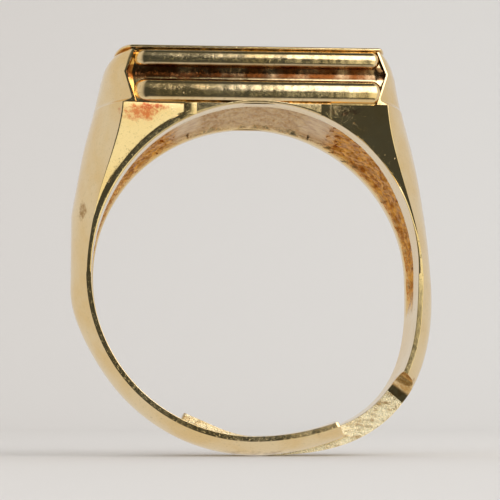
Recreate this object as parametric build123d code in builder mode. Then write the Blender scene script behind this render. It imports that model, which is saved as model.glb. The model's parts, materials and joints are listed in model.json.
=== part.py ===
"""Adjustable signet ring.

A brass casting carries the head and both shoulders. Moulded gallery strips close its front and
rear, and a signet plate closes its top. Two shank arms bend at the sides of the finger and lap
side by side under it, which is how the ring is sized.

Frame: the origin is the centre of the finger bore, Y runs along the finger, and +Z points to the
signet plate. Millimetres.
"""
from build123d import *
from math import cos, radians, sin
import os

os.makedirs("parts", exist_ok=True)

# Finger bore, and the stock that boring it out removes from the shank
bore_radius = 9.5
bore_stock = 0.05

# Shank under the finger, and at the bending lines beside it
under_crown_radius = 10.65
under_ridge_radius = 9.85
under_half_width = 2.0
side_crown_radius = 10.78
side_ridge_radius = 9.85
side_half_width = 2.6

# Head
table_height = 12.75
head_half_width = 5.0
head_ridge = 7.35
head_crown = 8.8
flange_thickness = 0.25
flange_overhang = 0.1
flange_chamfer = 0.12
boss_half_length = 6.2
boss_half_width = 3.7
boss_depth = 0.6

# Gallery strips
gallery_half_length = 7.25
gallery_bottom = 9.45
gallery_depth = 0.55
bead_rise = 0.25

# Shallow hollow under the head, concentric with the bore
hollow_half_length = 3.6
hollow_half_width = 3.7
hollow_radius = 9.9

# Lap of the shank, as angles from straight under the finger
lap_step_angle = 49
front_tip_angle = 28.8
rear_tip_angle = 26
lap_gap = 0.06
scoop_radius = 1.2

# How far the shank stands out from the bore: the right arm between 3 and 6 o'clock, and the front tip
right_arm_bow = 1.05
front_tip_lift = 0.4

# Bending line of each arm
bend_x = 10.13
knuckle_radius = 0.66
knuckle_gap = 0.05

casting_top = table_height - flange_thickness
head_front = head_half_width - gallery_depth

# Stations up the shoulders: height, ridge x, crown x, half width
stations = [
    (0, side_ridge_radius, side_crown_radius, side_half_width),
    (1.8, 9.62, 10.66, 3.0),
    (3.7, 9.16, 10.4, 3.52),
    (5.8, 8.5, 10.08, 4.12),
    (7.7, 7.92, 9.72, 4.65),
    (9.4, 7.56, 9.38, 4.95),
    (11.2, 7.4, 9.05, head_half_width),
    (casting_top, head_ridge, head_crown, head_half_width),
]


def domed_outline(height, ridge, crown, half_width):
    """Level outline with straight front and rear and bowed ends."""
    with BuildSketch(Plane.XY.offset(height)) as outline:
        with BuildLine():
            Line((-ridge, -half_width), (ridge, -half_width))
            ThreePointArc((ridge, -half_width), (crown, 0), (ridge, half_width))
            Line((ridge, half_width), (-ridge, half_width))
            ThreePointArc((-ridge, half_width), (-crown, 0), (-ridge, -half_width))
        make_face()
    return outline.sketch


def knuckle(side, radius):
    """Round bar along Y on one arm's bending line."""
    with BuildPart() as bar:
        with BuildSketch(Plane.XZ):
            with Locations((side * bend_x, 0)):
                Circle(radius)
        extrude(amount=side_half_width + 1, both=True)
    return bar.part


# Head casting: the head block and both shoulders, down to the bending lines
with BuildPart() as head_casting:
    loft([domed_outline(*station) for station in stations])
    # Finger bore
    with BuildSketch(Plane.XZ):
        Circle(bore_radius)
    extrude(amount=2 * head_half_width, both=True, mode=Mode.SUBTRACT)
    # Seats of the two gallery strips
    with BuildSketch(Plane.XY.offset(gallery_bottom)):
        with Locations((0, head_half_width), (0, -head_half_width)):
            Rectangle(2 * gallery_half_length, 2 * gallery_depth)
    extrude(amount=casting_top - gallery_bottom, mode=Mode.SUBTRACT)
    # Pocket for the boss of the signet plate
    with BuildSketch(Plane.XY.offset(casting_top)):
        Rectangle(2 * boss_half_length, 2 * boss_half_width)
    extrude(amount=-boss_depth, mode=Mode.SUBTRACT)
    # Hollow under the head
    with BuildSketch(Plane.XZ):
        Circle(hollow_radius)
        with Locations((0, hollow_radius)):
            Rectangle(2 * hollow_half_length, 2 * hollow_radius, mode=Mode.INTERSECT)
    extrude(amount=hollow_half_width, both=True, mode=Mode.SUBTRACT)
    # Round seats for the tops of the arms
    add(knuckle(1, knuckle_radius + knuckle_gap), mode=Mode.SUBTRACT)
    add(knuckle(-1, knuckle_radius + knuckle_gap), mode=Mode.SUBTRACT)
head_casting.part.label = "head_casting"
export_step(head_casting.part, "parts/head_casting.step")


def gallery_strip(side):
    """Strip of two half-round beads with a groove between them. side is -1 for the front."""
    height = casting_top - gallery_bottom
    back = side * head_front
    face = side * (head_half_width - bead_rise)
    crest = side * (head_half_width + bead_rise)
    middle = gallery_bottom + height / 2
    with BuildPart() as strip:
        with BuildSketch(Plane.YZ.offset(-gallery_half_length)):
            with BuildLine():
                Polyline((face, casting_top), (back, casting_top), (back, gallery_bottom), (face, gallery_bottom))
                ThreePointArc((face, gallery_bottom), (crest, gallery_bottom + height / 4), (face, middle))
                ThreePointArc((face, middle), (crest, casting_top - height / 4), (face, casting_top))
            make_face()
        extrude(amount=2 * gallery_half_length)
    return strip.part


front_gallery = gallery_strip(-1)
front_gallery.label = "front_gallery"
export_step(front_gallery, "parts/front_gallery.step")

rear_gallery = gallery_strip(1)
rear_gallery.label = "rear_gallery"
export_step(rear_gallery, "parts/rear_gallery.step")

# Signet plate: a flange that covers the head, and a boss under it that sits in the casting
with BuildPart() as signet_plate:
    add(domed_outline(casting_top, head_ridge, head_crown, head_half_width + flange_overhang))
    extrude(amount=flange_thickness)
    chamfer(signet_plate.faces().sort_by(Axis.Z)[-1].edges(), flange_chamfer)
    with BuildSketch(Plane.XY.offset(casting_top)):
        Rectangle(2 * boss_half_length, 2 * boss_half_width)
    extrude(amount=-boss_depth)
signet_plate.part.label = "signet_plate"
export_step(signet_plate.part, "parts/signet_plate.step")


def shank_section(angle, share, shift):
    """Domed section of the shank, share of the way to the side and shifted outward.

    angle is measured from straight under the finger, positive towards +X.
    """
    crown = under_crown_radius + (side_crown_radius - under_crown_radius) * share + shift
    ridge = under_ridge_radius + (side_ridge_radius - under_ridge_radius) * share + shift
    inner = bore_radius - bore_stock + shift
    half_width = under_half_width + (side_half_width - under_half_width) * share
    outward = (sin(radians(angle)), 0, -cos(radians(angle)))
    along = (cos(radians(angle)), 0, sin(radians(angle)))
    with BuildSketch(Plane(origin=(0, 0, 0), x_dir=outward, z_dir=along)) as section:
        with BuildLine():
            Line((inner, -half_width), (ridge, -half_width))
            ThreePointArc((ridge, -half_width), (crown, 0), (ridge, half_width))
            Polyline((ridge, half_width), (inner, half_width), (inner, -half_width))
        make_face()
    return section.sketch


def left_shift(angle):
    """The front tongue straightens towards its tip."""
    return front_tip_lift * (min(0, angle) / front_tip_angle) ** 2


def right_shift(angle):
    """The right arm bows outward between the bending line and the lap."""
    return right_arm_bow * sin(radians(2 * max(0, min(90, angle)))) ** 2


def shank_arm(side, tip_angle, shift):
    """One arm, from its bending line round to the tip of its tongue.

    side is 1 for the +X arm, whose tongue runs at the rear, and -1 for the other, whose tongue
    runs at the front. shift(angle) is how far the arm stands out from the bore.
    """
    stretch = [96, 84, 72, 60, 48, 36, 24, 12, 0, -tip_angle / 2, -tip_angle]
    with BuildPart() as arm:
        loft(
            [
                shank_section(side * angle, (max(0, min(90, angle)) / 90) ** 2, shift(angle))
                for angle in stretch
            ]
        )
        with BuildSketch(Plane.XZ):
            Circle(bore_radius)
        extrude(amount=2 * side_half_width, both=True, mode=Mode.SUBTRACT)
        # Keep only the knuckle above the bending line
        with BuildSketch(Plane.XZ):
            Rectangle(40, 20, align=(Align.CENTER, Align.MIN))
            with Locations((side * bend_x, 0)):
                Circle(knuckle_radius, mode=Mode.SUBTRACT)
        extrude(amount=2 * side_half_width, both=True, mode=Mode.SUBTRACT)
        # Cut the other arm's half away past the step
        step_out = (side * sin(radians(lap_step_angle)), 0, -cos(radians(lap_step_angle)))
        step_along = (side * cos(radians(lap_step_angle)), 0, sin(radians(lap_step_angle)))
        reach = 2 * bore_radius
        with BuildSketch(Plane.XZ.offset(-side * lap_gap / 2)):
            with BuildLine():
                Polyline(
                    (0, 0),
                    (reach * step_out[0], reach * step_out[2]),
                    (0, -reach),
                    (-side * reach, -reach / 2),
                    (0, 0),
                )
            make_face()
        extrude(amount=side * 2 * side_half_width, mode=Mode.SUBTRACT)
        # Round scoop that runs the step out to the front or rear edge
        with BuildSketch(Plane(origin=(0, 0, 0), x_dir=step_along, z_dir=step_out)):
            with Locations((0, scoop_radius + lap_gap / 2)):
                Circle(scoop_radius)
        extrude(amount=2 * bore_radius, mode=Mode.SUBTRACT)
    return arm.part


left_arm = shank_arm(-1, front_tip_angle, left_shift)
left_arm.label = "left_arm"
export_step(left_arm, "parts/left_arm.step")

right_arm = shank_arm(1, rear_tip_angle, right_shift)
right_arm.label = "right_arm"
export_step(right_arm, "parts/right_arm.step")
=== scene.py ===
"""Looks of the adjustable signet ring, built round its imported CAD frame.

Lengths in this file are millimetres in the ring's own frame: the origin is the centre of the
finger bore, Y runs along the finger, and +Z points to the signet plate. mesh_object() turns
them into metres.
"""
import json
import math

import bmesh
import bpy
import numpy as np
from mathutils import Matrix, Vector, noise


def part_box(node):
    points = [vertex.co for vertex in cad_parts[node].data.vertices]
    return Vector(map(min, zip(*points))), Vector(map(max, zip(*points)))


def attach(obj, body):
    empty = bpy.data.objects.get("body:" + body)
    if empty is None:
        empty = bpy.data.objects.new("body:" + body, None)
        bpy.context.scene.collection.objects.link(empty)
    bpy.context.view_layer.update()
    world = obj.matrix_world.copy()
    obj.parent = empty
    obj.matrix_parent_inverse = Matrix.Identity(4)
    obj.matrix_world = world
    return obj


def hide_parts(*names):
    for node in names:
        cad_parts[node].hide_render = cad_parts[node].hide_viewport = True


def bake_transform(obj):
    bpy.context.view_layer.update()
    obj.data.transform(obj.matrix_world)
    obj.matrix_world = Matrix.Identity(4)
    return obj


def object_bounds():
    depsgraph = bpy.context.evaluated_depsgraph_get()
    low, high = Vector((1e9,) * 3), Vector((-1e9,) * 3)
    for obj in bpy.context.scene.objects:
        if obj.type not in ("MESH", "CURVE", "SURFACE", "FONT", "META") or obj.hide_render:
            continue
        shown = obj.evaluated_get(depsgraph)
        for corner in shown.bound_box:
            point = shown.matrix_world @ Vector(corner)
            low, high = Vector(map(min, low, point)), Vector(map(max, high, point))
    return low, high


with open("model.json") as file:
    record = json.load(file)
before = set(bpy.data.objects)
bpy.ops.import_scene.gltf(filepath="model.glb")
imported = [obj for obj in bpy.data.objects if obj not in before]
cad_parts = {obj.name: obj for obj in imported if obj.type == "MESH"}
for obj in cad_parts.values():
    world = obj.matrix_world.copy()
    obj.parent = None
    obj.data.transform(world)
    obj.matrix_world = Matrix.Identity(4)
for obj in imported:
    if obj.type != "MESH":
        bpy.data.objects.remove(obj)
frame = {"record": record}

cad_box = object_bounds()
MM = 0.001

# Driving sizes, read from the frame
bore = next(m for m in frame["record"]["mounts"] if m["name"] == "finger_bore")["dims"]["r_mm"]
table_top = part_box("signet_plate")[1].z / MM
strip_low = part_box("front_gallery")[0].z / MM
strip_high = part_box("front_gallery")[1].z / MM
strip_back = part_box("front_gallery")[1].y / MM
strip_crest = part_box("front_gallery")[0].y / MM
strip_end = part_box("front_gallery")[1].x / MM
floor_level = cad_box[0].z / MM

# Head and shoulders. Sides are -1 for left and 1 for right.
casting_top = strip_high
strip_seat = abs(strip_back)
top_round = 0.9
crown_limit = 10.775
seam_x = 3.56  # where the head core and each shoulder meet
core_overlap = 0.15
core_inset = 0.01
rail = 0.35
facet_start = 4.15
facet_recess = 0.5
facet_scoop = 0.12
facet_hollow = 0.015
edge_round = 0.07
bore_round = 0.14

# Rough hollow
hollow_deep = 0.3
hollow_lumps = 0.2
hollow_grit = 0.06
hollow_soft = 0.35
hollow_rear_margin = 0.55
calm_width = 0.5

# Gallery strips
strip_ends = {-1: strip_end + 0.3, 1: strip_end + 0.02}
strip_slims = {-1: 0.2, 1: 0.05}
strip_point = 0.55
strip_base = 4.74
strip_overhang = 0.08
channel_middle = 11.2
channel_depth = 0.12
bead_sink = 0.08
bead_back = 0.14

# Lap
lap_step = 49
front_tip = 28.8
rear_tip = 26
lap_gap = 0.06
scoop_length = 1.35
right_bow = 1.05
front_lift = 0.4
rear_dip = 0.42

# Points across the dome, the inner face and each side face of a shank section
dome_count = 28
inner_count = 64
side_count = 12


def spline(knots):
    """Natural cubic spline through (x, y) knots, as a function of x."""
    x, y = np.array(sorted(knots), float).T
    step = np.diff(x)
    count = len(x)
    matrix = np.eye(count)
    right = np.zeros(count)
    for i in range(1, count - 1):
        matrix[i, i - 1 : i + 2] = step[i - 1], 2 * (step[i - 1] + step[i]), step[i]
        right[i] = 6 * ((y[i + 1] - y[i]) / step[i] - (y[i] - y[i - 1]) / step[i - 1])
    bend = np.linalg.solve(matrix, right)

    def at(value):
        i = int(np.clip(np.searchsorted(x, value) - 1, 0, count - 2))
        before, after, h = x[i + 1] - value, value - x[i], step[i]
        cubic = (bend[i] * before**3 + bend[i + 1] * after**3) / (6 * h)
        return cubic + (y[i] / h - bend[i] * h / 6) * before + (y[i + 1] / h - bend[i + 1] * h / 6) * after

    return at


def smooth(value):
    """0 below 0, 1 above 1, and smooth between."""
    value = min(1.0, max(0.0, value))
    return value * value * (3 - 2 * value)


# Shoulder outlines by height, and shank outlines by angle from straight under the finger
ridge_at = spline([
    (-2, 9.7), (0, 9.8), (1.8, 9.62), (3.7, 9.16), (5.8, 8.5), (7.7, 7.92), (9.4, 7.56),
    (11.2, 7.42), (12.5, 7.36),
])
crown_at = spline([
    (-1.5, 10.78), (0, 10.76), (1.8, 10.64), (3.7, 10.4), (5.8, 10.08), (7.7, 9.72),
    (9.4, 9.38), (11.2, 9.03), (12.5, 8.7),
])
width_at = spline([
    (-11, 2), (-9, 2.0), (-6, 2.1), (-3, 2.3), (0, 2.65), (1.8, 3.02), (3.7, 3.55),
    (5.8, 4.14), (7.7, 4.65), (9.4, 4.95), (11.2, 5.0), (12.5, 5.0),
])
left_crown = spline([
    (96, 10.73), (90, 10.76), (82, 10.84), (72, 10.72), (62, 10.58), (50, 10.54),
    (35, 10.56), (18, 10.6), (0, 10.64), (-28.8, 10.64),
])
right_crown = spline([
    (96, 10.5), (90, 10.6), (84, 10.68), (78, 10.72), (72, 10.72), (60, 10.7),
    (45, 10.66), (20, 10.64), (0, 10.64), (-26, 10.6),
])
# How much further out than the casting's mean outline each shoulder's ridge and crown stand
ridge_lean = {
    -1: spline([(-2, 0), (2, 0), (4.5, 0.12), (9.4, 0.2), (11.2, 0.3), (12.5, 0.1)]),
    1: spline([(-2, 0), (0, -0.04), (2, -0.13), (9.4, -0.15), (11.2, -0.08), (12.5, -0.2)]),
}
crown_lean = {
    -1: spline([
        (-2, 0), (0, 0.02), (1.6, 0.16), (2.8, 0.3), (4, 0.32), (5.2, 0.28), (7.5, 0.27),
        (9.4, 0.16), (11.1, 0.1), (12.5, 0.05),
    ]),
    1: spline([
        (-2, 0), (0, -0.16), (2, -0.2), (4.5, -0.23), (7.2, -0.32), (9.6, -0.5),
        (11.2, -0.62), (12.5, -0.8),
    ]),
}
# Half width of the rough hollow towards the front, by height
hollow_at = spline([(-4, 0.7), (-1, 0.8), (2, 1.0), (4.1, 1.5), (6.3, 2.65), (8, 3.3), (9.5, 3.6)])


def rail_width(side, z):
    """Width of the flat rail round the bore, which dies out up the right shoulder."""
    return rail * (1 - 0.92 * smooth((z - 1) / 2)) if side > 0 else rail


def front_depth(x, z, side):
    """Half width of a shoulder's front at a point, with the rail proud of the facet."""
    width = width_at(z)
    rim = bore + rail_width(side, z)
    if z >= strip_low or math.hypot(x, z) < rim or x < facet_start:
        return width
    start = max(facet_start, math.sqrt(max(0.0, rim**2 - z * z)))
    span = max(0.05, ridge_at(z) + ridge_lean[side](z) - start)
    share = min(1.0, max(0.0, (x - start) / span))
    recess = min(facet_recess, 0.14 * span) * (1 - share)
    scoop = facet_scoop * smooth((z - 7.6) / 1.6) + facet_hollow if side > 0 else facet_hollow
    return width - recess - min(scoop, 0.06 * span) * math.sin(math.pi * share)


def fillet(corners, count=4):
    """Replaces each (p, y, radius) corner of a closed outline by a short curve of count points."""
    points = []
    total = len(corners)
    for i, (p, y, radius) in enumerate(corners):
        here = np.array([p, y])
        if radius == 0:
            points.append(here)
            continue
        before = np.array(corners[i - 1][:2]) - here
        after = np.array(corners[(i + 1) % total][:2]) - here
        before *= min(radius / max(1e-9, np.linalg.norm(before)), 0.45)
        after *= min(radius / max(1e-9, np.linalg.norm(after)), 0.45)
        for k in range(count):
            t = k / (count - 1)
            points.append(here + before * (1 - t) ** 2 + after * t * t)
    return points


def section(
    inner, ridge, crown, width, low, high, full, side_points, rounding,
    seat=None, recess=None, edge=edge_round,
):
    """Closed outline of the shank in (outward, along the finger) coordinates.

    low and high bound it along the finger. full is 0 for a dome of one round arc and 1 for a
    full, nearly elliptic one. side_points(end, y, sign) gives the points of a side face from
    the inner edge to the dome. seat is the half width of the inner face where that is narrower
    than the outline. recess(y) is how far the inner face is sunk.
    """
    rise = crown - ridge

    def dome(y):
        share = min(1.0, abs(y) / width)
        return ridge + rise * max(0.0, 1 - share ** (2 + 0.5 * full)) ** (1 / (1 + 0.55 * full))

    inner_low, inner_high = (-seat, seat) if seat else (low, high)
    corners = [(inner, inner_low, rounding)]
    corners += side_points(dome(low), low, -1)
    corners.append((dome(low), low, edge))
    for t in np.linspace(0, 1, dome_count + 2)[1:-1]:
        y = low + (high - low) * (0.5 - 0.5 * math.cos(math.pi * t))
        corners.append((dome(y), y, 0))
    corners.append((dome(high), high, edge))
    corners += side_points(dome(high), high, 1)[::-1]
    corners.append((inner, inner_high, rounding))
    for t in np.linspace(0, 1, inner_count + 2)[1:-1]:
        y = inner_high + (inner_low - inner_high) * t
        corners.append((inner + (recess(y) if recess else 0), y, 0))
    return fillet(corners)


def hollow_share(y, z, width):
    """1 inside the rough hollow under the head and shoulders, 0 outside."""
    rim = hollow_at(max(-4, min(9.5, z)))
    ends = smooth((z + 2.6) / 2)
    front, rear = smooth((y + rim) / hollow_soft), smooth((width - hollow_rear_margin - y) / hollow_soft)
    return ends * front * rear


def hollow_depth(x, y, z, width):
    """How far the rough hollow is sunk at a point of the bore."""
    share = hollow_share(y, z, width)
    if share == 0:
        return 0.0
    lump = noise.fractal((x * 1.5, y * 1.5, z * 1.5), 0.9, 2.1, 5)
    grit = noise.fractal((x * 6, y * 6, z * 6), 0.8, 2.1, 3)
    calm = 1 - math.exp(-(((abs(x) - seam_x) / calm_width) ** 2))
    return share * max(0.03, hollow_deep + calm * (hollow_lumps * lump + hollow_grit * grit))


def shoulder_loop(height, side):
    """Level section of one shoulder."""
    in_bore = height < math.sqrt(bore**2 - seam_x**2)
    inner = math.sqrt(bore**2 - height**2) if in_bore else seam_x
    over = max(0.0, (height - casting_top + top_round) / top_round)
    drop = 1 - math.sqrt(max(0.0, 1 - over * over))
    ridge = ridge_at(height) + ridge_lean[side](height) - 0.05 * drop
    crown = min(crown_limit, crown_at(height) + crown_lean[side](height)) - 0.45 * drop
    rail_end = math.sqrt(max(0.0, (bore + rail_width(side, height)) ** 2 - height**2))
    rail_end = min(max(rail_end, facet_start), ridge - 0.1)
    width = width_at(height)
    in_strip = height > strip_low
    if height > channel_middle:
        half = strip_high + strip_overhang - channel_middle
    else:
        half = channel_middle - strip_low
    reach = strip_ends[side] + 0.02 - strip_point * min(1.0, abs(height - channel_middle) / half)
    if in_strip:
        ridge += (reach + 0.12 - ridge) * smooth((height - strip_low + 0.02) / 0.3)

    def side_points(end, y, sign):
        if in_strip:
            shares = np.linspace(0.02, 1, side_count - 1)
            points = [(inner + (reach - inner) * share, sign * strip_seat, 0) for share in shares]
            return points + [(reach + 0.03, y, 0)]
        step = rail_end + 0.05
        points = [(rail_end, y, 0)]
        for share in np.linspace(0, 1, side_count)[:-1]:
            x = step + (end - step) * share
            points.append((x, sign * front_depth(x, height, side), 0))
        return points

    def recess(y):
        level = min(height, math.sqrt(bore**2 - inner**2))
        radius = bore + hollow_depth(side * inner, y, level, width)
        return max(0.0, math.sqrt(max(0.0, radius**2 - height**2)) - inner)

    rounding = bore_round if in_bore else 0.004
    full = 0.3 * smooth((height - 0.5) / 8) + 0.7 * smooth((height - 10.8) / 1.6)
    edge = edge_round + 0.3 * smooth((height - strip_low) / 0.8)
    seat = strip_seat if in_strip else None
    return section(
        inner, ridge, crown, width, -width, width, full, side_points, rounding, seat, recess, edge
    )


def shank_loop(angle, crown_of, shift, low, high, side):
    """Polar section of one arm at an angle from straight under the finger."""
    turn = math.radians(angle)
    height = -bore * math.cos(turn)
    width = width_at(height)
    inner = bore + shift

    def side_points(end, y, sign):
        return [(inner + (end - inner) * t, y, 0) for t in np.linspace(0.12, 0.9, side_count)]

    def recess(y):
        return hollow_depth(side * bore * math.sin(turn), y, height, width)

    low = max(low, -width)
    high = min(high, width)
    rounding = bore_round if high - low > 3 else bore_round * 0.6
    ridge = bore + 0.3 + shift
    crown = crown_of(angle) + shift
    return section(inner, ridge, crown, width, low, high, 0, side_points, rounding, None, recess)


def scoop_bound(angle, radius):
    """How far from the lap plane the cut half has grown back, from 0 at the step to 1."""
    distance = math.radians(angle - lap_step) * radius
    if distance <= 0:
        return 0.0
    share = min(1.0, distance / scoop_length)
    return 1 - math.sqrt(max(0.0, 1 - share * share))


def mesh_object(name, vertices, faces, material, paint=None):
    """A smooth mesh piece from millimetre vertices, with paint's layers as vertex attributes."""
    mesh = bpy.data.meshes.new(name)
    mesh.from_pydata([tuple(float(c) * MM for c in v) for v in vertices], [], faces)
    mesh.validate()
    mesh.update()
    mesh.materials.append(material)
    for layer, values in (paint or {}).items():
        attribute = mesh.attributes.new(layer, "FLOAT", "POINT")
        attribute.data.foreach_set("value", values)
    mesh.polygons.foreach_set("use_smooth", [True] * len(mesh.polygons))
    piece = bpy.data.objects.new(name, mesh)
    bpy.context.scene.collection.objects.link(piece)
    return piece


def skin(loops):
    """Vertices and faces of a tube through the loops, with a fan at each end."""
    size = len(loops[0])
    vertices = [v for loop in loops for v in loop]
    faces = []
    for k in range(len(loops) - 1):
        for i in range(size):
            j = (i + 1) % size
            faces.append((k * size + i, k * size + j, (k + 1) * size + j, (k + 1) * size + i))
    for row, flip in ((0, True), (len(loops) - 1, False)):
        centre = len(vertices)
        vertices.append((np.min(loops[row], axis=0) + np.max(loops[row], axis=0)) / 2)
        for i in range(size):
            a, b = row * size + i, row * size + (i + 1) % size
            faces.append((b, a, centre) if flip else (a, b, centre))
    return vertices, faces


def orient(piece):
    """Makes every face of a closed piece look outward and keeps its edges crisp."""
    shape = bmesh.new()
    shape.from_mesh(piece.data)
    bmesh.ops.recalc_face_normals(shape, faces=shape.faces)
    shape.to_mesh(piece.data)
    shape.free()
    piece.data.set_sharp_from_angle(angle=math.radians(55))


# ---------------------------------------------------------------- materials


class Shader:
    """Short names for building one material's nodes."""

    def __init__(self, name):
        self.material = bpy.data.materials.new(name)
        self.material.use_nodes = True
        self.tree = self.material.node_tree
        self.surface = self.tree.nodes["Principled BSDF"]
        self.surface.inputs["Metallic"].default_value = 1.0
        place = self.node("ShaderNodeTexCoord")
        mapping = self.node("ShaderNodeMapping")
        mapping.inputs["Scale"].default_value = (1 / MM,) * 3
        self.link(place.outputs["Object"], mapping.inputs["Vector"])
        self.place = mapping.outputs["Vector"]

    def node(self, kind, **settings):
        made = self.tree.nodes.new(kind)
        for key, value in settings.items():
            setattr(made, key, value)
        return made

    def link(self, a, b):
        self.tree.links.new(a, b)

    def noise(self, scale, detail=4.0, roughness=0.55, stretch=None):
        made = self.node("ShaderNodeTexNoise")
        made.inputs["Scale"].default_value = scale
        made.inputs["Detail"].default_value = detail
        made.inputs["Roughness"].default_value = roughness
        source = self.place
        if stretch:
            mapping = self.node("ShaderNodeMapping")
            mapping.inputs["Scale"].default_value = stretch
            self.link(self.place, mapping.inputs["Vector"])
            source = mapping.outputs["Vector"]
        self.link(source, made.inputs["Vector"])
        return made.outputs["Fac"]

    def ramp(self, value, low, high, start=0.0, end=1.0):
        made = self.node("ShaderNodeMapRange", interpolation_type="SMOOTHSTEP")
        self.link(value, made.inputs["Value"])
        made.inputs["From Min"].default_value = low
        made.inputs["From Max"].default_value = high
        made.inputs["To Min"].default_value = start
        made.inputs["To Max"].default_value = end
        return made.outputs["Result"]

    def math(self, operation, a, b):
        made = self.node("ShaderNodeMath", operation=operation)
        for value, socket in ((a, made.inputs[0]), (b, made.inputs[1])):
            if isinstance(value, (int, float)):
                socket.default_value = value
            else:
                self.link(value, socket)
        return made.outputs[0]

    def mix(self, factor, a, b):
        made = self.node("ShaderNodeMix", data_type="RGBA")
        self.link(factor, made.inputs[0])
        for value, socket in ((a, made.inputs[6]), (b, made.inputs[7])):
            if isinstance(value, tuple):
                socket.default_value = (*value, 1)
            else:
                self.link(value, socket)
        return made.outputs[2]

    def layer(self, name):
        """A vertex layer painted on the mesh."""
        return self.node("ShaderNodeAttribute", attribute_name=name).outputs["Fac"]

    def part(self, axis):
        """The X, Y or Z of the point, in millimetres."""
        split = self.node("ShaderNodeSeparateXYZ")
        self.link(self.place, split.inputs[0])
        return split.outputs[axis]

    def between(self, value, low, high, soft):
        """1 where a value lies between low and high, with soft sides."""
        rise = self.ramp(value, low - soft, low)
        fall = self.ramp(value, high, high + soft, 1.0, 0.0)
        return self.math("MULTIPLY", rise, fall)

    def spot(self, centre, size, ragged=0.35):
        """1 inside an ellipsoid with a ragged edge, 0 outside."""
        offset = self.node("ShaderNodeVectorMath", operation="SUBTRACT")
        self.link(self.place, offset.inputs[0])
        offset.inputs[1].default_value = centre
        scaled = self.node("ShaderNodeVectorMath", operation="DIVIDE")
        self.link(offset.outputs[0], scaled.inputs[0])
        scaled.inputs[1].default_value = size
        length = self.node("ShaderNodeVectorMath", operation="LENGTH")
        self.link(scaled.outputs[0], length.inputs[0])
        wobble = self.ramp(self.noise(2.6, 6, 0.65), 0.25, 0.75, -ragged, ragged)
        return self.ramp(self.math("ADD", length.outputs["Value"], wobble), 1.0, 0.35)

    def pits(self, scale, size):
        """1 in small scattered round pits."""
        made = self.node("ShaderNodeTexVoronoi")
        made.inputs["Scale"].default_value = scale
        made.inputs["Randomness"].default_value = 1.0
        self.link(self.place, made.inputs["Vector"])
        return self.ramp(made.outputs["Distance"], size, size * 0.4)

    def crevice_shade(self, distance):
        """1 where the surface is closed in, for painting shade into crevices."""
        made = self.node("ShaderNodeAmbientOcclusion", samples=8)
        made.inputs["Distance"].default_value = distance * MM
        return self.ramp(made.outputs["AO"], 0.75, 0.25)

    def bump(self, height, depth, strength=1.0, normal=None):
        made = self.node("ShaderNodeBump")
        made.inputs["Strength"].default_value = strength
        made.inputs["Distance"].default_value = depth * MM
        self.link(height, made.inputs["Height"])
        if normal is not None:
            self.link(normal, made.inputs["Normal"])
        return made.outputs["Normal"]

    def polished(self, roughness, tarnish, stains=(), channel=None):
        """Gold plate with cloudy tone, specks of tarnish, painted shade and dirt in crevices, a darker
        channel where one is given, pits and hair scratches.
        """
        cloud = self.ramp(self.noise(0.35, 3), 0.35, 0.68)
        color = self.mix(cloud, PALE_GOLD, WARM_GOLD)
        speck = self.ramp(self.noise(7.0, 6, 0.7), 0.54, 0.7, 0.0, tarnish)
        if channel:
            speck = self.math("MULTIPLY", speck, self.ramp(self.part("X"), 2.4, 3.6, 1.0, 0.2))
        color = self.mix(speck, color, OLIVE)
        # Painted shade: brown darkening in crevices from the occlusion mask, broken up by noise that also
        # stands for dirt
        dirt_and_shade_breakup = self.ramp(self.noise(1.4, 6, 0.65), 0.42, 0.7)
        closed = self.math("MULTIPLY", self.math("MULTIPLY", self.crevice_shade(0.4), dirt_and_shade_breakup), 0.6)
        color = self.mix(closed, color, SHADE_AND_PIT_BROWN)
        for centre, size, tone in stains:
            patchy = self.ramp(self.noise(5.5, 5, 0.7), 0.3, 0.56, 0.25, 0.9)
            blotch = self.math("MULTIPLY", self.spot(centre, size), patchy)
            color = self.mix(blotch, color, tone)
        if channel:
            low, high = channel
            inside = self.between(self.part("Z"), low, high, 0.14)
            uneven = self.ramp(self.noise(0.8, 5, 0.6), 0.25, 0.6, 0.55, 1.0)
            inside = self.math("MULTIPLY", inside, uneven)
            color = self.mix(inside, color, CHANNEL_BROWN)
        pit = self.math("MULTIPLY", self.pits(1.7, 0.075), self.ramp(self.noise(0.9, 2), 0.5, 0.6))
        color = self.mix(self.math("MULTIPLY", pit, 0.75), color, SHADE_AND_PIT_BROWN)
        scratches = self.noise(1.0, 8, 0.75, stretch=(0.6, 9, 9))
        rough = self.ramp(self.noise(2.2, 6, 0.7), 0.3, 0.75, roughness * 0.6, roughness * 1.7)
        rough = self.math("ADD", rough, self.ramp(scratches, 0.55, 0.7, 0.0, 0.06))
        normal = self.bump(self.noise(1.1, 2), 0.010, 0.6)
        normal = self.bump(self.noise(3.6, 3, 0.5), 0.004, 0.5, normal)
        normal = self.bump(scratches, 0.002, 0.4, normal)
        normal = self.bump(self.ramp(self.noise(7.0, 5, 0.7), 0.56, 0.7), 0.004, 0.35, normal)
        normal = self.bump(self.math("SUBTRACT", 1.0, pit), 0.02, 1.0, normal)
        return color, rough, normal

    def cast(self):
        """Plated surface left rough as cast, dull under the head, with a painted orange reflection on the
        sides lower down.
        """
        dull = self.mix(self.ramp(self.noise(1.3, 5, 0.65), 0.35, 0.7), DULL_GOLD, DULL_BROWN)
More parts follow.
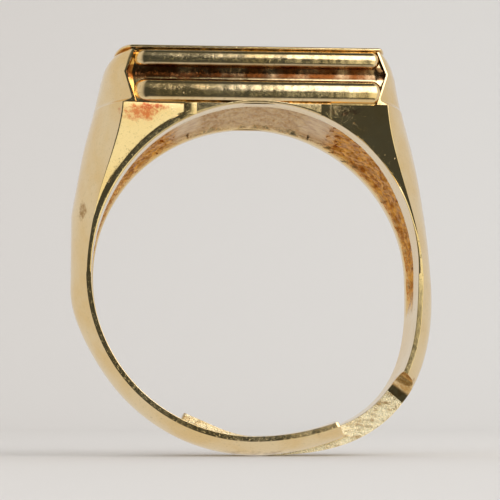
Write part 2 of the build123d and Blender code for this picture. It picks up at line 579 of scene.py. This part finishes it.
        # Painted reflection: orange and dark orange below a height of about 8.2 to 8.9 stand for warm
        # reflected light
        painted_orange_reflection = self.mix(self.ramp(self.noise(1.6, 6, 0.7), 0.36, 0.64), REFLECTION_ORANGE, DARK_REFLECTION_ORANGE)
        color = self.mix(self.ramp(self.part("Z"), 8.9, 8.2), dull, painted_orange_reflection)
        speck = self.ramp(self.noise(6.0, 6, 0.75), 0.56, 0.72, 0.0, 0.4)
        color = self.mix(speck, color, SPECK_GOLD)
        rough = self.ramp(self.noise(5.0, 6, 0.7), 0.3, 0.7, 0.28, 0.5)
        normal = self.bump(self.noise(2.6, 6, 0.6), 0.14, 0.8)
        normal = self.bump(self.noise(14.0, 4, 0.6), 0.012, 0.6, normal)
        return color, rough, normal

    def filed(self):
        """Face of the lap, filed along its length and worn."""
        stripes = self.noise(1.6, 8, 0.75, stretch=(0.8, 5, 2.2))
        color = self.mix(self.ramp(stripes, 0.46, 0.68), FILED_GOLD, FILED_BROWN)
        rough = self.ramp(self.noise(6.0, 5), 0.3, 0.7, 0.16, 0.34)
        normal = self.bump(stripes, 0.09, 0.9)
        normal = self.bump(self.noise(12.0, 5, 0.7), 0.02, 0.6, normal)
        return color, rough, normal

    def over(self, layer, below, above):
        """One look painted over another through a vertex layer."""
        color = self.mix(layer, below[0], above[0])
        rough = self.node("ShaderNodeMix", data_type="FLOAT")
        normal = self.node("ShaderNodeMix", data_type="VECTOR")
        for made, part, first in ((rough, 1, 2), (normal, 2, 4)):
            self.link(layer, made.inputs[0])
            self.link(below[part], made.inputs[first])
            self.link(above[part], made.inputs[first + 1])
        return color, rough.outputs[0], normal.outputs[1]

    def finish(self, look):
        """Puts a (colour, roughness, normal) look on the surface and gives the material."""
        for value, name in zip(look, ("Base Color", "Roughness", "Normal")):
            self.link(value, self.surface.inputs[name])
        return self.material


PALE_GOLD = (0.94, 0.755, 0.46)
WARM_GOLD = (0.91, 0.67, 0.33)
# Brown of the painted shade and dirt in crevices, and of the dirt in pits
SHADE_AND_PIT_BROWN = (0.20, 0.08, 0.02)
CHANNEL_BROWN = (0.17, 0.055, 0.014)
RUST = (0.66, 0.17, 0.05)
OLIVE = (0.46, 0.38, 0.19)
OVAL_BROWN = (0.42, 0.24, 0.07)
SCOOP_BROWN = (0.60, 0.34, 0.10)
DARK_RUST = (0.55, 0.10, 0.04)
RED_BROWN = (0.50, 0.26, 0.16)
TONGUE_BROWN = (0.50, 0.30, 0.12)
CHANNEL_RUST = (0.72, 0.30, 0.10)
DULL_GOLD = (0.88, 0.66, 0.39)
DULL_BROWN = (0.66, 0.42, 0.22)
# Orange tones of the painted reflection in the hollow
REFLECTION_ORANGE = (1.0, 0.52, 0.10)
DARK_REFLECTION_ORANGE = (0.46, 0.16, 0.02)
SPECK_GOLD = (0.92, 0.68, 0.40)
FILED_GOLD = (0.94, 0.84, 0.60)
FILED_BROWN = (0.45, 0.29, 0.12)

# Stains: centre, half size, colour
shank_stains = [
    ((-9.95, -2.3, 3.5), (0.45, 0.9, 0.62), OVAL_BROWN),
    ((-6.6, -4.9, 8.9), (1.5, 0.7, 0.62), RUST),
    ((-5.9, -4.9, 9.25), (1.0, 0.7, 0.3), DARK_RUST),
    ((5.2, -4.9, 9.1), (1.3, 0.7, 0.35), RED_BROWN),
    ((8.7, -1, -6.7), (1.1, 1.8, 1.0), SCOOP_BROWN),
    ((-4.0, 1.0, -8.5), (1.3, 1.6, 0.9), TONGUE_BROWN),
]
strip_stains = [
    ((-6.9, -4.9, 10.95), (1.2, 0.7, 0.3), CHANNEL_RUST),
    ((-4.4, -4.8, 11.1), (1.5, 0.6, 0.3), RUST),
]


def shank_material():
    shader = Shader("shank_gold")
    look = shader.over(shader.layer("rough"), shader.polished(0.10, 0.3, shank_stains), shader.cast())
    return shader.finish(shader.over(shader.layer("filed"), look, shader.filed()))


def head_material():
    shader = Shader("cast_gold")
    return shader.finish(shader.over(shader.layer("rough"), shader.polished(0.16, 0.4), shader.cast()))


def plain_gold(name, roughness, tarnish, stains=(), channel=None):
    shader = Shader(name)
    return shader.finish(shader.polished(roughness, tarnish, stains, channel))


# ---------------------------------------------------------------- shank and shoulders


def shank(name, side, crown_of, tip, shift_of):
    """One shoulder and arm as a single skin."""
    loops, fulls = [], []
    rim = math.asin(seam_x / bore)
    heights = list(np.linspace(casting_top, strip_low + 0.004, 34))
    heights += [strip_low - 0.004]
    under_strip = math.acos((strip_low - 0.05) / bore)
    heights += [bore * math.cos(a) for a in np.linspace(under_strip, rim, 16)]
    heights += [bore * math.cos(a) for a in np.linspace(rim + 0.006, math.pi / 2, 120)]
    for height in heights:
        loops.append([(side * p, y, height) for p, y in shoulder_loop(height, side)])
    angles = list(np.linspace(89.2, lap_step + 9, 40))
    angles += list(np.linspace(lap_step + 8.6, lap_step, 44))
    angles += list(np.linspace(lap_step - 0.6, -tip, 110))
    for angle in angles:
        width = width_at(-bore * math.cos(math.radians(angle)))
        grown = scoop_bound(angle, bore + 1)
        if side > 0:
            low = lap_gap / 2 - (width + lap_gap / 2) * grown
            high = width
        else:
            low = -width
            high = -lap_gap / 2 + (width + lap_gap / 2) * grown
        a = math.radians(angle)
        points = shank_loop(angle, crown_of, shift_of(angle), low, high, side)
        loops.append([(side * p * math.sin(a), y, -p * math.cos(a)) for p, y in points])
    # Break the tip's edges
    a = math.radians(-tip)
    out = -np.array([side * math.cos(a), 0, math.sin(a)])
    last = np.array(loops[-1])
    centre = last.mean(axis=0)
    for reach, shrink in ((0.03, 0.985), (0.05, 0.95), (0.06, 0.9)):
        loops.append([tuple(centre + (v - centre) * shrink + out * reach) for v in last])
    vertices, faces = skin(loops)
    size = len(loops[0])
    filed, rough = [], []
    cut_start = len(heights) + 76
    for k, loop in enumerate(loops):
        for i, (x, y, z) in enumerate(loop):
            width = width_at(max(-10.5, z))
            on_cut = k > cut_start + 3 and abs(y) < width * 0.6 and is_cut_face(i, size, side)
            filed.append(1.0 if on_cut else 0.0)
            inner = i >= size - inner_count - 3
            near = math.hypot(x, z) < bore + 0.9
            rough.append(hollow_share(y, z, width) if inner and near else 0.0)
    extra = [0.0] * (len(vertices) - len(filed))
    paint = {"filed": filed + extra, "rough": rough + extra}
    piece = mesh_object(name, vertices, faces, shank_gold, paint)
    orient(piece)
    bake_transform(piece)
    return piece


def is_cut_face(i, size, side):
    """Whether a loop's i-th point lies on the side face that the lap cuts."""
    front = range(2, 4 + side_count + 2)
    rear_start = 4 + side_count + 4 + dome_count + 2
    rear = range(rear_start, rear_start + side_count + 4)
    return i in (front if side > 0 else rear)


def left_shift(angle):
    return front_lift * (min(0, angle) / front_tip) ** 2


def right_shift(angle):
    bow = right_bow * math.sin(math.radians(2 * max(0, min(90, angle)))) ** 2
    return bow - rear_dip * smooth(-angle / 22)


shank_gold = shank_material()
left_shank = shank("left_shank_skin", -1, left_crown, front_tip, left_shift)
right_shank = shank("right_shank_skin", 1, right_crown, rear_tip, right_shift)


# ---------------------------------------------------------------- head core with its hollow


def head_core():
    """Middle of the head casting, whose underside is hollow and rough."""
    under = 200
    loops, rough = [], []
    beyond = [seam_x + 0.004, seam_x + 0.05, seam_x + 0.1, seam_x + core_overlap]
    stations = [-v for v in beyond[::-1]] + list(np.linspace(-seam_x, seam_x, 150)) + beyond
    for x in stations:
        loop, paint = [], []
        # Past the seam the core stays inside the shoulder, but covers the hollow's edge
        inset = core_inset if abs(x) > seam_x else 0.0
        proud = core_inset * smooth((abs(x) - seam_x + 0.5) / 0.55)
        bottom = math.sqrt(bore**2 - x * x)
        half = width_at(bottom)
        for y in np.linspace(-half + 0.1, half - 0.1, under):
            share = hollow_share(y, bottom, half)
            radius = bore + hollow_depth(x, y, bottom, half)
            radius = radius + inset * (1 - share) - proud * share
            loop.append((x, y, math.sqrt(radius**2 - x * x)))
            paint.append(share)
        top = max(bottom + 0.14, strip_low)
        for sign in (1, -1):
            side = [(x, sign * (half - 0.03 - inset), bottom + 0.02)]
            for z in np.linspace(bottom + 0.1, top, 8):
                side.append((x, sign * (width_at(min(z, strip_low - 0.01)) - inset), z))
            for z in (top + 0.01, casting_top):
                side.append((x, sign * (strip_seat - inset), z))
            loop += side if sign > 0 else side[::-1]
        paint += [0.0] * (len(loop) - under)
        loops.append(loop)
        rough += paint
    vertices, faces = skin(loops)
    rough += [0.0] * (len(vertices) - len(rough))
    piece = mesh_object("head_core", vertices, faces, head_material(), {"rough": rough})
    orient(piece)
    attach(piece, "head")
    return piece


core = head_core()
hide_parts("head_casting")
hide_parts("left_arm")
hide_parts("right_arm")


# ---------------------------------------------------------------- gallery strips

# Beads: middle height, half height, rise, how far short of the strip's left and right ends, and
# how long the left and right ends are
beads = (
    (12.05, 0.54, 0.47, (0.26, 0.3), (0.9, 0.5)),
    (10.19, 0.67, 0.49, (0.3, 0.16), (1.0, 0.6)),
)


def gallery(name, node, side):
    """Base strip with pointed ends, two round-ended beads and a channel between them."""
    vertices, faces = [], []

    def add(loops):
        made, made_faces = skin(loops)
        start = len(vertices)
        vertices.extend(made)
        faces.extend(tuple(i + start for i in face) for face in made_faces)

    left, right = -strip_ends[-1], strip_ends[1]
    point = strip_point
    loops = []
    stations = (
        left + np.linspace(0, point, 16),
        np.linspace(left + point + 0.1, right - point - 0.1, 60),
        right - np.linspace(point, 0, 16),
    )
    for x in np.concatenate(stations):
        share = min(1.0, 0.04 + min(x - left, right - x) / point)
        low = channel_middle + (strip_low - channel_middle) * share
        high = channel_middle + (strip_high + strip_overhang - channel_middle) * share
        slim = strip_slim(x)
        loop = [(x, side * strip_seat, low), (x, side * strip_seat, high)]
        for t in np.linspace(1, 0, 30):
            z = low + (high - low) * t
            dip = channel_depth * math.exp(-(((z - channel_middle) / 0.3) ** 2)) * share
            edge = 0.05 * (1 - smooth(min(t, 1 - t) / 0.03))
            loop.append((x, side * (strip_base - dip - slim - edge), z))
        loops.append(loop)
    add(loops)
    for middle, half, rise, short, caps in beads:
        start, end = left + short[0], right - short[1]
        growth = np.concatenate(([0.0], np.linspace(0.08, 1, 18) ** 2))
        loops = [bead_loop(start + t * caps[0], side, middle, half, rise, t, True) for t in growth]
        for x in np.linspace(start + caps[0] + 0.08, end - caps[1] - 0.08, 100):
            loops.append(bead_loop(x, side, middle, half, rise, 1))
        loops += [bead_loop(end - t * caps[1], side, middle, half, rise, t) for t in growth[::-1]]
        add(loops)
    channel = (channel_middle - 0.2, channel_middle + 0.4)
    material = plain_gold(name + "_gold", 0.11, 0.6, strip_stains, channel)
    piece = mesh_object(name, vertices, faces, material)
    orient(piece)
    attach(piece, "head")
    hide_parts(node)
    return piece


def strip_slim(x):
    """How much thinner the strip is near its ends."""
    share = 0.04 + min(x + strip_ends[-1], strip_ends[1] - x) / strip_point
    return strip_slims[-1 if x < 0 else 1] * smooth(1 - share)


def bead_loop(x, side, middle, half, rise, grown, sloped=False):
    """Section of a half-round bead at x, grown from 0 at its end to 1, which may be sloped."""
    scale = math.sqrt(max(0.0004, 1 - (1 - grown) ** 2))
    lift = max(0.02, grown * (1.35 - 0.35 * grown**3)) if sloped else scale
    wave = 0.006 * noise.noise((x * 0.9, middle, side))
    wave += 0.003 * noise.noise((x * 3.1, middle, side))
    base = strip_base - strip_slim(x)
    loop = []
    for t in np.linspace(0, math.pi, 31):
        y = base - bead_sink + (rise + 0.07 + wave) * lift * math.sin(t) ** 0.85
        loop.append((x, side * y, middle - half * scale * math.cos(t)))
    loop.append((x, side * (base - bead_back), middle + half * scale * 0.9))
    loop.append((x, side * (base - bead_back), middle - half * scale * 0.9))
    return loop


gallery("front_gallery_strip", "front_gallery", -1)
gallery("rear_gallery_strip", "rear_gallery", 1)


# ---------------------------------------------------------------- signet plate

plate_thick = 0.17
plate_half = 5.08
plate_ridge = {-1: 7.25, 1: 6.95}
plate_crown = {-1: 8.38, 1: 7.5}
corner_sharp = 2.4


def signet_plate():
    """Flat table with rounded edges and a fine line engraved inside its border."""

    def end_at(y, inset, side):
        share = min(1.0, abs(y) / (plate_half - inset))
        ridge, crown = plate_ridge[side], plate_crown[side]
        return side * (ridge + (crown - ridge) * (1 - share**corner_sharp) ** 0.5 - inset)

    def outline(inset):
        half = plate_half - inset
        left, right = -plate_ridge[-1] + inset, plate_ridge[1] - inset
        around = [half * math.cos(math.pi * t) for t in np.linspace(0, 1, 50)[1:-1]]
        points = [(x, -half) for x in np.linspace(left, right, 40)]
        points += [(end_at(y, inset, 1), y) for y in around[::-1]]
        points += [(x, half) for x in np.linspace(right, left, 40)]
        return points + [(end_at(y, inset, -1), y) for y in around]

    low = table_top - plate_thick
    # How far inside the outline and how high: the edge, the border line, then the table
    steps = [(0.5, low), (0.06, low), (0.02, low + 0.02), (0, low + 0.05)]
    steps += [(0.01, table_top - 0.07), (0.05, table_top - 0.02), (0.11, table_top)]
    steps += [(0.78, table_top), (0.84, table_top - 0.07), (0.9, table_top - 0.08)]
    steps += [(0.96, table_top - 0.07), (1.02, table_top), (1.6, table_top), (2.8, table_top)]
    loops = [[(x, y, z) for x, y in outline(inset)] for inset, z in steps]
    vertices, faces = skin(loops)
    piece = mesh_object("signet_table", vertices, faces, plain_gold("plate_gold", 0.12, 0.2))
    orient(piece)
    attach(piece, "head")
    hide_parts("signet_plate")


signet_plate()


# ---------------------------------------------------------------- floor, light and camera


# Backdrop tones for its painted light: shaded at the left, lit at the right
FLOOR_SHADED_LEFT = (0.645, 0.625, 0.605)
FLOOR_LIT_RIGHT = (0.67, 0.66, 0.645)
camera_place = (-7.6, -100, -8)
camera_up = 5.415  # degrees above the horizon
camera_right = 4.253  # degrees to the right of +Y
camera_lens = 121.83


def backdrop():
    """Pale floor that curves up into a wall behind the ring, left out of its reflections, with painted
    light that makes it a little lighter towards +X.
    """
    half = 500
    near, turn, top, curve = -300, 120, 420, 110
    path = [(near, floor_level), (-60, floor_level), (60, floor_level)]
    for t in np.linspace(0, math.pi / 2, 40):
        path.append((turn + curve * math.sin(t), floor_level + curve * (1 - math.cos(t))))
    path.append((turn + curve, top))
    vertices = [(x, y, z) for y, z in path for x in (-half, half)]
    faces = [(2 * k, 2 * k + 1, 2 * k + 3, 2 * k + 2) for k in range(len(path) - 1)]
    material = bpy.data.materials.new("backdrop_pale")
    material.use_nodes = True
    tree = material.node_tree
    surface = tree.nodes["Principled BSDF"]
    place = tree.nodes.new("ShaderNodeTexCoord")
    split = tree.nodes.new("ShaderNodeSeparateXYZ")
    tree.links.new(place.outputs["Object"], split.inputs[0])
    # Painted light: the colour goes from the shaded left tone to the lit right tone along X
    painted_light_ramp = tree.nodes.new("ShaderNodeMapRange")
    tree.links.new(split.outputs["X"], painted_light_ramp.inputs["Value"])
    painted_light_ramp.inputs["From Min"].default_value = -40 * MM
    painted_light_ramp.inputs["From Max"].default_value = 80 * MM
    tone = tree.nodes.new("ShaderNodeMix")
    tone.data_type = "RGBA"
    tree.links.new(painted_light_ramp.outputs["Result"], tone.inputs[0])
    tone.inputs[6].default_value = (*FLOOR_SHADED_LEFT, 1)
    tone.inputs[7].default_value = (*FLOOR_LIT_RIGHT, 1)
    tree.links.new(tone.outputs[2], surface.inputs["Base Color"])
    surface.inputs["Roughness"].default_value = 0.95
    surface.inputs["Specular IOR Level"].default_value = 0.1
    piece = mesh_object("backdrop", vertices, faces, material)
    piece.visible_glossy = False


def area_light(name, place, size, power, tint=(1, 1, 1)):
    light = bpy.data.lights.new(name, "AREA")
    light.shape = "RECTANGLE"
    light.size, light.size_y = size[0] * MM, size[1] * MM
    light.energy = power
    light.color = tint
    lamp = bpy.data.objects.new(name, light)
    lamp.location = Vector(place) * MM
    lamp.rotation_euler = (Vector((0, 0, 2)) * MM - lamp.location).to_track_quat("-Z", "Y").to_euler()
    bpy.context.scene.collection.objects.link(lamp)
    lamp.visible_camera = False
    lamp.visible_glossy = False


def room():
    """Pale room, lit differently by direction: dark behind the camera, a window to its right."""
    world = bpy.data.worlds.new("room")
    bpy.context.scene.world = world
    world.use_nodes = True
    tree = world.node_tree
    tree.nodes.clear()

    def node(kind, **settings):
        made = tree.nodes.new(kind)
        for key, value in settings.items():
            setattr(made, key, value)
        return made

    def put(value, socket):
        if isinstance(value, tuple):
            socket.default_value = (*value, 1)
        elif isinstance(value, (int, float)):
            socket.default_value = value
        else:
            tree.links.new(value, socket)

    def calc(operation, a, b=0.0):
        made = node("ShaderNodeMath", operation=operation)
        put(a, made.inputs[0])
        put(b, made.inputs[1])
        return made.outputs[0]

    def step(value, low, high):
        made = node("ShaderNodeMapRange", interpolation_type="SMOOTHSTEP")
        put(value, made.inputs["Value"])
        made.inputs["From Min"].default_value = low
        made.inputs["From Max"].default_value = high
        return made.outputs["Result"]

    def mix(factor, a, b):
        made = node("ShaderNodeMix", data_type="RGBA")
        put(factor, made.inputs[0])
        put(a, made.inputs[6])
        put(b, made.inputs[7])
        return made.outputs[2]

    split = node("ShaderNodeSeparateXYZ")
    put(node("ShaderNodeTexCoord").outputs["Generated"], split.inputs[0])
    x, y, z = split.outputs
    # Degrees to the right of the line towards the camera, and above the horizon
    across = calc("DEGREES", calc("ARCTAN2", x, calc("MULTIPLY", y, -1)))
    above = calc("DEGREES", calc("ARCSINE", z))
    in_front = calc("MULTIPLY", step(across, -70, -44), step(across, 60, 48))
    level = calc("MULTIPLY", step(above, 88, 76), step(above, -68, -48))
    lift = calc("MULTIPLY", calc("MAXIMUM", calc("MINIMUM", z, 0.25), 0.0), 0.2)
    window = calc("MULTIPLY", step(calc("ADD", x, lift), 0.12, 0.155), step(across, 66, 50))
    window = calc("MULTIPLY", window, calc("MULTIPLY", step(above, 54, 38), step(above, -50, -34)))
    sheen = calc("MULTIPLY", step(above, 14, 24), step(above, 62, 44))

    tone = mix(step(above, 40, 80), (0.68, 0.65, 0.615), (0.34, 0.32, 0.29))
    dark = mix(sheen, (0.060, 0.063, 0.054), (0.15, 0.15, 0.125))
    tone = mix(calc("MULTIPLY", in_front, level), tone, dark)
    pane = mix(step(above, -4, 6), (0.98, 0.93, 0.68), (2.6, 2.52, 2.4))
    tone = mix(window, tone, pane)
    seen = node("ShaderNodeLightPath").outputs["Is Camera Ray"]
    diffuse = node("ShaderNodeLightPath").outputs["Is Diffuse Ray"]
    tone = mix(diffuse, tone, (1.03, 1.02, 1.01))
    tone = mix(seen, tone, (0.64, 0.62, 0.60))
    shine = node("ShaderNodeBackground")
    put(tone, shine.inputs["Color"])
    output = node("ShaderNodeOutputWorld")
    put(shine.outputs[0], output.inputs["Surface"])


def camera():
    """Close camera left of the ring's middle, looking a little up and to the right."""
    data = bpy.data.cameras.new("camera")
    data.sensor_width = 36
    data.lens = camera_lens
    data.clip_start = 0.001
    data.clip_end = 10
    eye = bpy.data.objects.new("camera", data)
    eye.location = Vector(camera_place) * MM
    eye.rotation_euler = (math.radians(90 + camera_up), 0, math.radians(-camera_right))
    bpy.context.scene.collection.objects.link(eye)
    bpy.context.scene.camera = eye


backdrop()
room()
area_light("key", (150, -60, 160), (120, 120), 0.12)
camera()
bpy.context.scene.view_settings.view_transform = "Standard"
